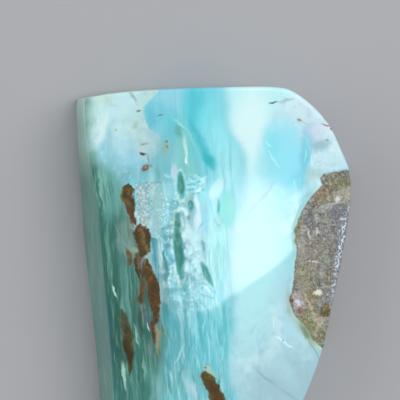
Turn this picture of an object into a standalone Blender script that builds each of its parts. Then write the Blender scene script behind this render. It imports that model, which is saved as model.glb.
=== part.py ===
"""A blue opal, cut and polished as one free-form slab, lying on its flat back.

The polished face looks up (+Z), the square-cut end is at +Y and the narrow end at
-Y. The origin is under the middle of the slab's box, on the surface it rests on.
"""
import bmesh
import bpy
import numpy as np

MM = 0.001

# The edge of the polished face seen from above, from the sharp corner at the left of
# the square-cut end, clockwise round to that corner again: x and y in mm, and how
# much further out the foot of the wall is there.
FACE_EDGE = (
    (-15.2, 21.5, 0.0), (-10.8, 22.1, 0.0), (-4.8, 22.5, 0.0), (1.2, 22.7, 0.0),
    (6.2, 22.7, 0.0), (7.8, 22.4, 0.1), (10.1, 20.9, 0.3), (12.2, 18.6, 0.5),
    (13.6, 15.8, 0.5), (14.6, 13.3, 0.5), (14.8, 11.0, 0.5), (14.5, 7.9, 0.5),
    (13.9, 4.9, 0.6), (12.5, -1.9, 0.6), (11.0, -7.5, 0.6), (9.2, -12.0, 0.6),
    (6.5, -16.8, 0.6), (2.9, -20.5, 0.6), (-1.3, -22.3, 0.6), (-5.3, -22.2, 0.6),
    (-8.7, -21.1, 0.5), (-11.0, -18.4, 0.45), (-12.0, -13.9, 0.45), (-12.5, -7.3, 0.5),
    (-13.2, 0.1, 0.6), (-13.8, 6.6, 0.7), (-14.0, 10.4, 0.7), (-14.6, 13.5, 0.4),
    (-15.1, 17.1, 0.1), (-15.3, 20.7, 0.0),
)
# Where on that edge the end, the right side, the tip and the left side begin.
SIDE_STARTS = (0, 7, 16, 21)

CROWN_HEIGHT = 7.0         # thickness under the highest point of the face
CROWN_PLACE = (-0.3, 1.5)  # where that point is
CROWN_RADII = (125.0, 250.0)  # how gently the face falls away, across and along
EDGE_RADIUS = 0.45         # softened edge between the face and the walls
BACK_CHAMFER = 0.35        # broken edge round the flat back

# Rough host rock at the right edge, which the polishing wheel never reached.
ROCK_MIDDLE = (14.6, 3.8)
ROCK_RADII = (6.5, 10.1)
ROCK_STEP = 0.25           # drop from the polished face to the rock
ROCK_FALL = 0.9            # further drop towards the outside
ROCK_MARGIN = 0.15         # part of the patch over which the step comes down

CELLS = (34, 50)           # facets across and along the face
# Rings down the wall: part of the edge's height, and part of the flare reached.
WALL_RINGS = ((0.80, 0.42), (0.52, 0.80), (0.24, 1.0), (0.0, 1.0))

OPAL_COLOUR = (0.36, 0.76, 0.78, 1.0)
OPAL_ROUGHNESS = 0.12


def tangent(a, b, c):
    """The speed at b of a curve through a, b and c, and its pace to a and to c."""
    pace_in = np.linalg.norm(b - a) ** 0.5
    pace_out = np.linalg.norm(c - b) ** 0.5
    speed = (b - a) / pace_in + (c - b) / pace_out - (c - a) / (pace_in + pace_out)
    return speed, pace_in, pace_out


def smooth_side(points, steps=16):
    """A smooth curve through the points, whose first and last only set its ends."""
    curve = []
    for before, here, there, after in zip(points, points[1:], points[2:], points[3:]):
        speed, _, pace = tangent(before, here, there)
        leaving = speed * pace
        speed, pace, _ = tangent(here, there, after)
        arriving = speed * pace
        for t in np.arange(steps) / steps:
            curve.append(
                (2 * t**3 - 3 * t**2 + 1) * here + (t**3 - 2 * t**2 + t) * leaving
                + (3 * t**2 - 2 * t**3) * there + (t**3 - t**2) * arriving
            )
    return np.array(curve + [points[-2]])


def face_sides():
    """The four sides of the face's edge, each a smooth run of points."""
    edge = [np.array(point) for point in FACE_EDGE]
    corner = edge[0]
    run = [2 * corner - edge[1], *edge, corner, 2 * corner - edge[-1]]
    stops = (*SIDE_STARTS, len(edge))
    return [smooth_side(run[a:b + 3]) for a, b in zip(stops, stops[1:])]


def along(side, part):
    """The point a given part of the way along one side, by its length."""
    lengths = np.linalg.norm(np.diff(side, axis=0), axis=1)
    walked = np.concatenate(([0.0], np.cumsum(lengths))) / lengths.sum()
    return np.array([np.interp(part, walked, column) for column in side.T])


def place_on_face(sides, across, up):
    """Where a point of the square from -1 to 1 goes: x, y and the wall's flare."""
    ring = max(abs(across), abs(up))
    if ring == 0.0:
        return np.zeros(3)
    across, up = across / ring, up / ring
    end, right, tip, left = sides
    if up == 1.0:
        edge_point = along(end, (across + 1) / 2)
    elif across == 1.0:
        edge_point = along(right, (1 - up) / 2)
    elif up == -1.0:
        edge_point = along(tip, (1 - across) / 2)
    else:
        edge_point = along(left, (up + 1) / 2)
    return edge_point * (ring, ring, 1.0)


def smoothstep(low, high, value):
    t = min(max((value - low) / (high - low), 0.0), 1.0)
    return t * t * (3 - 2 * t)


def face_height(x, y):
    """Height of the face: a low dome, with the host rock sunk below the polish."""
    dome = CROWN_HEIGHT
    for value, middle, radius in zip((x, y), CROWN_PLACE, CROWN_RADII):
        dome -= (value - middle) ** 2 / (2 * radius)
    out = [(value - middle) / radius
           for value, middle, radius in zip((x, y), ROCK_MIDDLE, ROCK_RADII)]
    inside = max(0.0, 1.0 - out[0] ** 2 - out[1] ** 2)
    return dome - ROCK_STEP * smoothstep(0.0, ROCK_MARGIN, inside) - ROCK_FALL * inside


def outline_edges(bm):
    return [edge for edge in bm.edges if edge.is_boundary]


def build_slab():
    bm = bmesh.new()
    bmesh.ops.create_grid(bm, x_segments=CELLS[0], y_segments=CELLS[1], size=1.0)
    sides = face_sides()
    flare = bm.verts.layers.float.new("flare")
    for vert in bm.verts:
        x, y, vert[flare] = place_on_face(sides, round(vert.co.x, 6), round(vert.co.y, 6))
        vert.co = (x, y, face_height(x, y))

    # The wall goes down from the face's edge and flares out to the back.
    rim = outline_edges(bm)
    ring = rim
    height_above, reached_above = 1.0, 0.0
    for height, reached in WALL_RINGS:
        grown = bmesh.ops.extrude_edge_only(bm, edges=ring)["geom"]
        for vert in (item for item in grown if isinstance(item, bmesh.types.BMVert)):
            vert.co.xy += vert.co.xy.normalized() * (reached - reached_above) * vert[flare]
            vert.co.z *= height / height_above
        ring = outline_edges(bm)
        height_above, reached_above = height, reached
    bmesh.ops.edgeloop_fill(bm, edges=ring)
    bmesh.ops.recalc_face_normals(bm, faces=bm.faces)

    for edges, width, segments in ((rim, EDGE_RADIUS, 2), (ring, BACK_CHAMFER, 1)):
        bmesh.ops.bevel(
            bm, geom=edges, offset=width, offset_type="OFFSET", segments=segments,
            profile=0.5, affect="EDGES", clamp_overlap=True, material=-1,
        )

    # The origin goes under the middle of the box.
    xs, ys = ([vert.co[axis] for vert in bm.verts] for axis in (0, 1))
    middle = ((max(xs) + min(xs)) / 2, (max(ys) + min(ys)) / 2, 0.0)
    bmesh.ops.translate(bm, verts=bm.verts, vec=[-value for value in middle])
    bmesh.ops.scale(bm, verts=bm.verts, vec=(MM, MM, MM))
    return bm


def opal_material():
    material = bpy.data.materials.new("blue_opal")
    material.use_nodes = True
    shader = material.node_tree.nodes["Principled BSDF"]
    shader.inputs["Base Color"].default_value = OPAL_COLOUR
    shader.inputs["Roughness"].default_value = OPAL_ROUGHNESS
    shader.inputs["Metallic"].default_value = 0.0
    return material


for old in list(bpy.data.objects):
    bpy.data.objects.remove(old, do_unlink=True)

slab = build_slab()
mesh = bpy.data.meshes.new("opal_stone")
slab.to_mesh(mesh)
slab.free()
mesh.materials.append(opal_material())
mesh.shade_smooth()
mesh.set_sharp_from_angle(angle=0.6)
stone = bpy.data.objects.new("opal_stone", mesh)
bpy.context.scene.collection.objects.link(stone)
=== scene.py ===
import math

import bmesh
import bpy
import numpy as np
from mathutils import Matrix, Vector, noise


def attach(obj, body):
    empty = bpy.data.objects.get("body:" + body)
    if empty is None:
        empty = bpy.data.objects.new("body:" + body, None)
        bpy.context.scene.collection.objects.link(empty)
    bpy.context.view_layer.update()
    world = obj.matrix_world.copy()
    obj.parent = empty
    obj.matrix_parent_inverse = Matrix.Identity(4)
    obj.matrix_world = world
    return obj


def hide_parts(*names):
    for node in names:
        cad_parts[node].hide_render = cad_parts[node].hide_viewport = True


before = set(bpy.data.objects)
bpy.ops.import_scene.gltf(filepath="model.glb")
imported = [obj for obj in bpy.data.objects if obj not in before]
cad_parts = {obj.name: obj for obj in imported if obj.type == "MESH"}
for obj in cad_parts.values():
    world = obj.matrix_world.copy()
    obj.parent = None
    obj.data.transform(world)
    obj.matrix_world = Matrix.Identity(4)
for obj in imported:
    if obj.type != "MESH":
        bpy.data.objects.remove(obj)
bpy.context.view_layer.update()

# The slab: one piece of common blue opal, sawn from a vein, ground to a free form on a
# wheel and then polished on its face and walls. Its back is ground flat.
MM = 0.001                # the slab is laid out in mm, and made its real size at the end

# The edge of the polished face seen from above, from the sharp corner at the left of
# the square-cut end, clockwise round to that corner again: x and y in mm, and how
# much further out the foot of the wall is there.
FACE_EDGE = (
    (-15.2, 21.5, 0.0), (-10.8, 22.1, 0.0), (-4.8, 22.5, 0.0), (1.2, 22.7, 0.0),
    (6.2, 22.7, 0.0), (7.8, 22.4, 0.1), (10.1, 20.9, 0.3), (12.2, 18.6, 0.5),
    (13.6, 15.8, 0.5), (14.6, 13.3, 0.5), (14.8, 11.0, 0.5), (14.5, 7.9, 0.5),
    (13.9, 4.9, 0.6), (12.5, -1.9, 0.6), (11.0, -7.5, 0.6), (9.2, -12.0, 0.6),
    (6.5, -16.8, 0.6), (2.9, -20.5, 0.6), (-1.3, -22.3, 0.6), (-5.3, -22.2, 0.6),
    (-8.7, -21.1, 0.5), (-11.0, -18.4, 0.45), (-12.0, -13.9, 0.45), (-12.5, -7.3, 0.5),
    (-13.2, 0.1, 0.6), (-13.8, 6.6, 0.7), (-14.0, 10.4, 0.7), (-14.6, 13.5, 0.4),
    (-15.1, 17.1, 0.1), (-15.3, 20.7, 0.0),
)
# Where on that edge the end, the right side, the tip and the left side begin.
SIDE_STARTS = (0, 7, 16, 21)

CROWN_HEIGHT = 7.0        # the highest place of the face, which is a very low dome
CROWN_PLACE = (-0.3, 1.5)
CROWN_RADII = (125.0, 250.0)   # how round it is across the slab and along it
EDGE_RADIUS = 0.4         # of the round between the face and the wall
BACK_RADIUS = 0.3         # of the round between the wall and the back
CORNER_REACH = 2.5        # how far along the edge the sharp corner turns the wall
FACE_CELLS = (170, 250)   # across the slab and along it
EDGE_STEPS = 4
WALL_STEPS = 10
BACK_STEPS = 3


def tangent(a, b, c):
    """The speed at b of a curve through a, b and c, and its pace to a and to c."""
    pace_in = np.linalg.norm(b - a) ** 0.5
    pace_out = np.linalg.norm(c - b) ** 0.5
    speed = (b - a) / pace_in + (c - b) / pace_out - (c - a) / (pace_in + pace_out)
    return speed, pace_in, pace_out


def smooth_side(points, steps=40):
    """A smooth curve through the points, whose first and last only set its ends."""
    curve = []
    for before, here, there, after in zip(points, points[1:], points[2:], points[3:]):
        speed, _, pace = tangent(before, here, there)
        leaving = speed * pace
        speed, pace, _ = tangent(here, there, after)
        arriving = speed * pace
        for t in np.arange(steps) / steps:
            curve.append(
                (2 * t**3 - 3 * t**2 + 1) * here + (t**3 - 2 * t**2 + t) * leaving
                + (3 * t**2 - 2 * t**3) * there + (t**3 - t**2) * arriving
            )
    return np.array(curve + [points[-2]])


def side_with_normals(side):
    """Adds to each point of a side the outward direction of the wall there."""
    ahead = np.gradient(side[:, :2], axis=0)
    ahead /= np.linalg.norm(ahead, axis=1, keepdims=True)
    return np.column_stack((side, -ahead[:, 1], ahead[:, 0]))


def along(side, part):
    """What a side holds a given part of the way along it, by its length."""
    lengths = np.linalg.norm(np.diff(side[:, :2], axis=0), axis=1)
    walked = np.concatenate(([0.0], np.cumsum(lengths))) / lengths.sum()
    return np.column_stack([np.interp(part, walked, column) for column in side.T])


def smoothstep(low, high, value):
    """0 up to low, 1 from high on and smooth between them; low may be above high."""
    t = np.clip((value - low) / (high - low), 0.0, 1.0)
    return t * t * (3 - 2 * t)


edge = [np.array(point) for point in FACE_EDGE]
run = [2 * edge[0] - edge[1], *edge, edge[0], 2 * edge[0] - edge[-1]]
stops = (*SIDE_STARTS, len(edge))
sides = [side_with_normals(smooth_side(run[a:b + 3])) for a, b in zip(stops, stops[1:])]

# At the sharp corner the two walls' outward directions turn into one, the miter.
miter = np.linalg.solve([sides[0][0, 3:], sides[3][-1, 3:]], (1.0, 1.0))
for side, corner in ((sides[0], sides[0][0].copy()), (sides[3], sides[3][-1].copy())):
    away = np.linalg.norm(side[:, :2] - corner[:2], axis=1)
    side[:, 3:] += np.clip(1 - away / CORNER_REACH, 0, 1)[:, None] * (miter - corner[3:])

# The face starts as a square grid, whose rings are drawn out to the slab's outline.
TINY = 1e-6               # a place this near to a side of the square is on it
slab = bmesh.new()
bmesh.ops.create_grid(slab, x_segments=FACE_CELLS[0], y_segments=FACE_CELLS[1], size=1.0)
square = np.array([vert.co.xy for vert in slab.verts], float).round(6)
rings = np.abs(square).max(axis=1)
across, up = (square / np.maximum(rings, TINY)[:, None]).T
on_end = up > 1 - TINY
on_right = (across > 1 - TINY) & ~on_end
on_tip = (up < TINY - 1) & ~on_right
on_left = ~(on_end | on_right | on_tip)
rim = np.zeros((len(square), 5))
for side, part, here in (
    (sides[0], across + 1, on_end), (sides[1], 1 - up, on_right),
    (sides[2], 1 - across, on_tip), (sides[3], up + 1, on_left),
):
    rim[here] = along(side, part[here] / 2)
rim_xy, rim_flare, rim_out = rim[:, :2], rim[:, 2], rim[:, 3:]
face_xy = (rim_xy - EDGE_RADIUS * rim_out) * rings[:, None]

# Where the patch of host rock begins on the face: y, and x there, in mm.
ROCK_BORDER = (
    (-7.2, 12.2), (-6.0, 10.8), (-5.2, 10.0), (-4.3, 9.6), (-3.5, 9.0), (-2.8, 8.2),
    (-1.9, 7.7), (-0.8, 7.35), (0.3, 7.7), (2.5, 8.0), (4.0, 8.15), (4.7, 8.25),
    (5.8, 8.0), (6.9, 8.0), (8.0, 8.35), (9.0, 8.8), (9.9, 9.35), (10.6, 9.8),
    (11.3, 10.5), (11.9, 11.0), (12.6, 10.7), (13.1, 11.2), (13.4, 13.0), (13.8, 16.5),
)
ROCK_STEP = 0.08          # drop from the polished face to the rock
ROCK_STEP_FROM = -0.05    # how far inside the border that drop starts, and ends
ROCK_STEP_TO = 0.3
ROCK_FALL = 0.7           # further drop from there to the outer edge
ROCK_REACH = 6.0          # distance over which it falls
ROCK_RUN_OUT = 0.35       # how far its border moves out for each mm down the wall


def inside_rock(xy):
    """How far inside the patch of host rock a place is, in mm; negative outside."""
    ys, xs = np.array(ROCK_BORDER).T
    return xy[:, 0] - np.interp(xy[:, 1], ys, xs)


def face_height(xy):
    """Height of the polish: a low dome, with the host rock sunk below it."""
    falls = (xy - CROWN_PLACE) ** 2 / (2 * np.array(CROWN_RADII))
    inside = inside_rock(xy)
    sunk = ROCK_STEP * smoothstep(ROCK_STEP_FROM, ROCK_STEP_TO, inside)
    sunk += ROCK_FALL * smoothstep(0.0, 1.0, inside / ROCK_REACH)
    return CROWN_HEIGHT - falls.sum(axis=1) - sunk


place = slab.verts.layers.int.new("place")
face_z = face_height(face_xy)
for number, (vert, xy, z) in enumerate(zip(slab.verts, face_xy, face_z)):
    vert.co = (*xy, z)
    vert[place] = number


def ring_down(edges, outset, heights):
    """Draws the slab's lowest ring out and down to the next one, all round."""
    outset = np.broadcast_to(outset, len(rim_xy))
    heights = np.broadcast_to(heights, len(rim_xy))
    grown = bmesh.ops.extrude_edge_only(slab, edges=edges)["geom"]
    for vert in grown:
        if isinstance(vert, bmesh.types.BMVert):
            number = vert[place]
            vert.co.xy = rim_xy[number] + outset[number] * rim_out[number]
            vert.co.z = heights[number]
    new_edges = [item for item in grown if isinstance(item, bmesh.types.BMEdge)]
    return [item for item in new_edges if item.is_boundary]


lowest = [item for item in slab.edges if item.is_boundary]
quarter_turn = math.pi / 2
for turn in np.linspace(0.0, quarter_turn, EDGE_STEPS + 1)[1:]:
    heights = face_z - EDGE_RADIUS * (1 - math.cos(turn))
    lowest = ring_down(lowest, EDGE_RADIUS * (math.sin(turn) - 1), heights)
wall_top = face_z - EDGE_RADIUS
for part in np.linspace(1.0, 0.0, WALL_STEPS + 1)[1:]:
    heights = BACK_RADIUS + (wall_top - BACK_RADIUS) * part
    lowest = ring_down(lowest, rim_flare * (1 - part**2), heights)
for turn in np.linspace(0.0, quarter_turn, BACK_STEPS + 1)[1:]:
    outset = rim_flare - BACK_RADIUS * (1 - math.cos(turn))
    lowest = ring_down(lowest, outset, BACK_RADIUS * (1 - math.sin(turn)))
bmesh.ops.edgeloop_fill(slab, edges=lowest)

# Where the surface has fine relief, its cells are halved.
PITTED_LOW = (-10.5, -2.6, 5.5)     # lowest and highest x, y and z
PITTED_HIGH = (0.9, 14.8, 7.5)
ROCKY_LOW = (-20.0, -7.2, 1.0)
ROCKY_HIGH = (20.0, 16.5, 7.5)
BESIDE_ROCK = 0.2


def is_within(vert, low, high):
    return all(a < value < b for a, value, b in zip(low, vert.co, high))


def is_fine(vert):
    """Whether a place is among the pits, or on or beside the rock."""
    if is_within(vert, PITTED_LOW, PITTED_HIGH):
        return True
    near_rock = inside_rock(np.array([vert.co.xy]))[0] > -BESIDE_ROCK
    return near_rock and is_within(vert, ROCKY_LOW, ROCKY_HIGH)


fine_verts = {vert for vert in slab.verts if is_fine(vert)}
bmesh.ops.subdivide_edges(
    slab, cuts=1, use_grid_fill=True,
    edges=[item for item in slab.edges if fine_verts.issuperset(item.verts)],
)
bmesh.ops.recalc_face_normals(slab, faces=slab.faces)
slab.normal_update()

# What sawing and polishing left: a face that isn't quite true, pits and grooves where
# soft streaks were plucked out, frosted places, and the host rock's own broken grain.
WAVES = ((0.13, 0.008), (0.45, 0.0014))   # bumps per mm, and their height in mm
# Pits: x, y, half width and half length in mm, lean in degrees, depth in mm.
PITS = (
    (-4.62, 11.87, 0.46, 1.5, 3, 0.4), (-5.02, 7.47, 0.42, 1.5, 4, 0.45),
    (-4.9, 4.5, 0.6, 3.0, 6, 0.65), (-6.39, 3.29, 0.18, 1.5, 12, 0.16),
    (-1.75, 1.97, 0.36, 1.6, 25, 0.24), (-2.2, 5.16, 0.14, 0.8, 12, 0.04),
    (-0.47, 9.56, 0.14, 0.9, -2, 0.04),
    (-3.88, 8.24, 0.24, 0.35, -20, 0.12), (-3.6, 9.67, 0.3, 0.55, 0, 0.08),
)
# Frosted places full of tiny chips: x, y, half width, half length, lean, chip depth.
FROSTED = (
    (-8.79, 9.67, 0.85, 2.4, 6, 0.04), (-13.76, 17.92, 0.6, 2.1, -16, 0.04),
    (-15.66, 19.9, 0.3, 1.2, 0, 0.02), (12.15, 14.51, 2.0, 1.4, 0, 0.04),
    (-2.93, 11.76, 0.9, 1.5, 0, 0.02), (-3.6, 4.72, 3.0, 6.2, 4, 0.014),
    (-0.69, 7.8, 0.7, 1.1, 0, 0.02),
)
FULL_FROST = 0.04         # chips as deep as this make a place quite frosted
PIT_WOBBLE = 0.18         # how ragged a pit's outline is, as a part of its size
LIP_HEIGHT = 0.012        # of the rim round a pit
GRAINS_PER_MM = 1.5       # of the host rock
GRAIN_CRACK = 0.35        # how far a crack between two grains reaches into them
GRAIN_HEIGHT = 0.07
ROCK_RAGGED = 0.1         # height of the rock's lumps, and of the finer ones on them
ROCK_FINE = 0.04
ROCK_BORDER_RAGGED = 0.12
# The left side falls away a little more, past this line: y, and x there, in mm.
FALL_LINE = ((-0.78, -6.91), (5.82, -7.14), (7.14, -10.82), (12.42, -12.83))
FALL_SLOPE = 0.035
TO_MIDDLE = (-0.045, 0.14, 0.0)   # mm, puts the slab's middle over the origin


def noise_at(points, scale, octaves=1):
    """Smooth noise from about -1 to 1 at each point."""
    return np.array([
        noise.fractal(Vector(point) * scale, 1.0, 2.0, octaves) for point in points
    ])


def leaning_oval(points, x, y, half_width, half_length, lean):
    """Distance from a leaning oval's middle, where 1 is its edge."""
    turn = math.radians(lean)
    right, ahead = (math.cos(turn), math.sin(turn)), (-math.sin(turn), math.cos(turn))
    from_middle = points[:, :2] - (x, y)
    return np.hypot(from_middle @ right / half_width, from_middle @ ahead / half_length)


points = np.array([vert.co for vert in slab.verts], float)
normals = np.array([vert.normal for vert in slab.verts], float)
upward = smoothstep(0.3, 0.8, normals[:, 2])
not_back = smoothstep(0.0, 0.6, points[:, 2])

height = sum(size * noise_at(points, scale) for scale, size in WAVES)
ragged = noise_at(points, 1.3, 3)
fine = noise_at(points, 3.1, 2)

inside = inside_rock(points[:, :2]) + ROCK_RUN_OUT * (points[:, 2] - CROWN_HEIGHT)
inside += ROCK_BORDER_RAGGED * ragged
rock = smoothstep(-0.08, 0.08, inside)
rim = rock * smoothstep(0.2, 0.03, inside)
grains = np.zeros(len(points))
for number in np.flatnonzero(rock > 0.01):
    near, _ = noise.voronoi(Vector(points[number]) * GRAINS_PER_MM)
    grains[number] = min(near[1] - near[0], GRAIN_CRACK) / GRAIN_CRACK
height += rock * (GRAIN_HEIGHT * (grains - 0.6) + ROCK_RAGGED * ragged + ROCK_FINE * fine)

fall_y, fall_x = np.transpose(FALL_LINE)
past_fall = np.interp(points[:, 1], fall_y, fall_x) - points[:, 0]
height -= FALL_SLOPE * np.maximum(past_fall, 0.0)

wobble = PIT_WOBBLE * noise_at(points * (1, 0.4, 1), 1.8, 3)
pit = np.zeros(len(points))
lip = np.zeros(len(points))
for x, y, half_width, half_length, lean, depth in PITS:
    out = leaning_oval(points, x, y, half_width, half_length, lean) + wobble
    height -= depth * smoothstep(1.0, 0.35, out) * upward
    inner = smoothstep(1.05, 0.6, out) * upward
    pit = np.maximum(pit, inner * smoothstep(-0.2, 0.4, depth))
    brim = np.exp(-((out - 1.2) / 0.25) ** 2) * upward
    lip = np.maximum(lip, brim * smoothstep(0.1, 0.4, depth))
height += LIP_HEIGHT * lip

streaks = noise_at(points * (1, 0.16, 1), 1.7, 3)
frost = np.zeros(len(points))
for x, y, half_width, half_length, lean, depth in FROSTED:
    out = leaning_oval(points, x, y, half_width, half_length, lean) + 0.35 * ragged
    here = smoothstep(1.1, 0.8, out)
    height += depth * here * (0.5 * fine + 0.7 * streaks)
    frost = np.maximum(frost, here * (depth / FULL_FROST) ** 2)

points += normals * (height * not_back)[:, None]
points += TO_MIDDLE
wall = smoothstep(0.85, 0.3, normals[:, 2])
# The finish is told where each of these is, by a value from 0 to 1 at every vertex.
for name, values in (
    ("wall", wall), ("rock", rock), ("rim", rim), ("pit", pit), ("lip", lip),
    ("frost", frost),
):
    layer = slab.verts.layers.float.new(name)
    for vert, value in zip(slab.verts, values):
        vert[layer] = value
for vert, point in zip(slab.verts, points):
    vert.co = point

bmesh.ops.scale(slab, verts=slab.verts, vec=(MM, MM, MM))
mesh = bpy.data.meshes.new("polished_opal")
slab.to_mesh(mesh)
slab.free()
mesh.shade_smooth()


def put_in_scene(name, data):
    made = bpy.data.objects.new(name, data)
    bpy.context.scene.collection.objects.link(made)
    return made


stone = put_in_scene("polished_opal", mesh)
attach(stone, "root")
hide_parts("opal_stone")

# The stone's finish: clouds of pale blue, turquoise and dark green-blue opal in bands
# that stand upright in the slab, threaded with milky and iron-stained veins, a polish
# like glass on all of it, and grey-brown matte host rock.
# Its colour also holds painted light and shade: painted shade down the left side, painted
# light and shade on the left wall, and painted glints on frosted places and on the rock, with
# a painted sheen along the rock's edge.


class Wire:
    """A socket of a finish, or the finish itself; sums with it add Math nodes."""

    def __init__(self, tree, socket=None):
        self.tree = tree
        self.socket = socket

    def node(self, kind, settings, sockets, output=0):
        """Adds a node with its settings, and the values or links of its sockets."""
        made = self.tree.nodes.new("ShaderNode" + kind)
        for name, value in settings.items():
            if name == "points":
                curve = made.mapping.curves[0]
                while len(curve.points) < len(value):
                    curve.points.new(0.5, 0.5)
                for point, at in zip(curve.points, value):
                    point.location = at
                made.mapping.extend = "HORIZONTAL"
                made.mapping.update()
            else:
                setattr(made, name, value)
        for name, value in sockets.items():
            if isinstance(value, Wire):
                self.tree.links.new(value.socket, made.inputs[name])
            else:
                made.inputs[name].default_value = value
        return Wire(self.tree, made.outputs[output] if made.outputs else None)

    def maths(self, operation, *values):
        return self.node("Math", {"operation": operation}, dict(enumerate(values)))

    def __add__(self, other):
        return self.maths("ADD", self, other)

    def __sub__(self, other):
        return self.maths("SUBTRACT", self, other)

    def __rsub__(self, other):
        return self.maths("SUBTRACT", other, self)

    def __mul__(self, other):
        return self.maths("MULTIPLY", self, other)

    __radd__ = __add__
    __rmul__ = __mul__


def screen(code):
    """A colour given by its code on a screen, such as d1eaf1, as the shader's own."""
    parts = [value / 255 for value in bytes.fromhex(code)]
    return (*(v / 12.92 if v < 0.04045 else ((v + 0.055) / 1.055) ** 2.4 for v in parts), 1.0)


def step(value, low, high, top=1.0):
    """0 up to low, top from high on and smooth between them; low may be above high."""
    settings = {"interpolation_type": "SMOOTHSTEP", "clamp": False}
    sockets = {"Value": value, "From Min": low, "From Max": high, "To Max": top}
    return value.node("MapRange", settings, sockets)


def cover(under, over, mask):
    """Lays a finished colour over another where the mask is 1."""
    settings = {"data_type": "RGBA", "blend_type": "MIX"}
    return mask.node("Mix", settings, {0: mask, 6: under, 7: over}, 2)


def paint(under, tint, mask):
    """Lays a colour, given by its code, over another where the mask is 1."""
    return cover(under, screen(tint), mask)


def grain(space, scale, stretch=(1, 1, 1), detail=0.0, lean=0.0):
    """Noise from 0 to 1, with so many bumps per mm and longer along a lean if stretched."""
    sockets = {"Vector": space, "Rotation": (0, 0, math.radians(lean)), "Scale": stretch}
    space = space.node("Mapping", {"vector_type": "TEXTURE"}, sockets)
    sockets = {"Vector": space, "Scale": scale, "Detail": detail, "Roughness": 0.55}
    return space.node("TexNoise", {}, sockets)


def waver(space, scale, size, stretch=(1, 1, 1)):
    """Moves of up to about half of size in mm, for the points of a space."""
    sockets = {"Vector": space, "Scale": stretch}
    space = space.node("Mapping", {"vector_type": "TEXTURE"}, sockets)
    sockets = {"Vector": space, "Scale": scale, "Detail": 3.0}
    noisy = space.node("TexNoise", {}, sockets, 1)
    sockets = {0: noisy, 1: (0.5, 0.5, 0.5)}
    noisy = space.node("VectorMath", {"operation": "SUBTRACT"}, sockets)
    return space.node("VectorMath", {"operation": "SCALE"}, {0: noisy, "Scale": size})


def moved(space, moves):
    """A space whose points are moved, as by a waver."""
    return space.node("VectorMath", {"operation": "ADD"}, {0: space, 1: moves})


RIGHT_THROUGH = 1e4       # mm, so long that an oval looks the same all the way down


def oval(space, x, y, half_width, half_length, lean=0.0, soft=0.3, top=1.0):
    """Mask of a leaning oval that goes right through the slab."""
    sockets = {
        "Vector": space, "Location": (x, y, 0), "Rotation": (0, 0, math.radians(lean)),
        "Scale": (2 * half_width, 2 * half_length, RIGHT_THROUGH),
    }
    space = space.node("Mapping", {"vector_type": "TEXTURE"}, sockets)
    inside = space.node("TexGradient", {"gradient_type": "SPHERICAL"}, {"Vector": space}, 1)
    return step(inside, 0.5 - soft / 2, 0.5 + soft / 2, top)


def clouds(under, space, rows, within=None):
    """Lays ovals over a colour; each row is an oval with its colour before its strength."""
    for x, y, half_width, half_length, lean, soft, tint, strength in rows:
        mask = oval(space, x, y, half_width, half_length, lean, soft, strength)
        under = paint(under, tint, mask * within if within else mask)
    return under


BORDER_REACH = 26.0       # mm that a border may be from the middle, either way


def border(points):
    """A border's x in mm at each y, from its own points."""
    points = sorted(
        ((y / BORDER_REACH + 1) / 2, (x / BORDER_REACH + 1) / 2) for x, y in points
    )
    part = level.node("FloatCurve", {"points": points}, {"Value": level})
    return part.maths("MULTIPLY_ADD", part, 2 * BORDER_REACH, -BORDER_REACH)


def vein(points, soft):
    """Mask of an upright vein, from its x, y and half width in mm down its length."""
    middle = border([(x, y) for x, y, _ in points])
    width = border([(half_width, y) for _, y, half_width in points])
    out = x_ragged.maths("ABSOLUTE", x_ragged - middle) - width
    return step(out, soft, -soft)


def carried(name):
    """Mask of what the mesh says is there, such as its rock or its pits."""
    return finish.node("Attribute", {"attribute_name": name}, {}, 2)


opal = bpy.data.materials.new("polished_opal")
opal.use_nodes = True
opal.node_tree.nodes.clear()
finish = Wire(opal.node_tree)

# The stone's own space in mm, whose bands lean a little as they go down through it,
# and the same with its points moved about, less and more.
here = finish.node("TexCoord", {}, {}, 3)
here = finish.node("Mapping", {}, {
    "Vector": here, "Location": (-1.355, -0.7, 0), "Rotation": (-0.08, 0.2, 0),
    "Scale": (1.02 / MM, 1 / MM, 1 / MM),
})
wide = waver(here, 0.5, 1.0)
close = waver(here, 2.2, 0.4, (1, 3.5, 1))
tearing = waver(here, 5.0, 0.4, (1, 2, 1))
long_wave = waver(here, 0.3, 0.5)
calm = moved(here, wide)
ragged = moved(calm, close)
torn = moved(ragged, tearing)
straight = moved(here, long_wave)
x_here = finish.node("SeparateXYZ", {}, {0: calm}, 0)
y_here = finish.node("SeparateXYZ", {}, {0: calm}, 1)
x_ragged = finish.node("SeparateXYZ", {}, {0: torn}, 0)
level = y_here.maths("MULTIPLY_ADD", y_here, 0.5 / BORDER_REACH, 0.5)

mist = grain(here, 0.3, detail=2.0)
fibre = grain(straight, 1.5, (1, 9, 9), 4.0, 5.0)
thread = grain(straight, 4.5, (1, 12, 12), 2.0, 6.0)
speckle = grain(here, 5.5, (1, 1.6, 1), 1.0)
blotch = grain(ragged, 1.2, detail=4.0)

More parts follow.
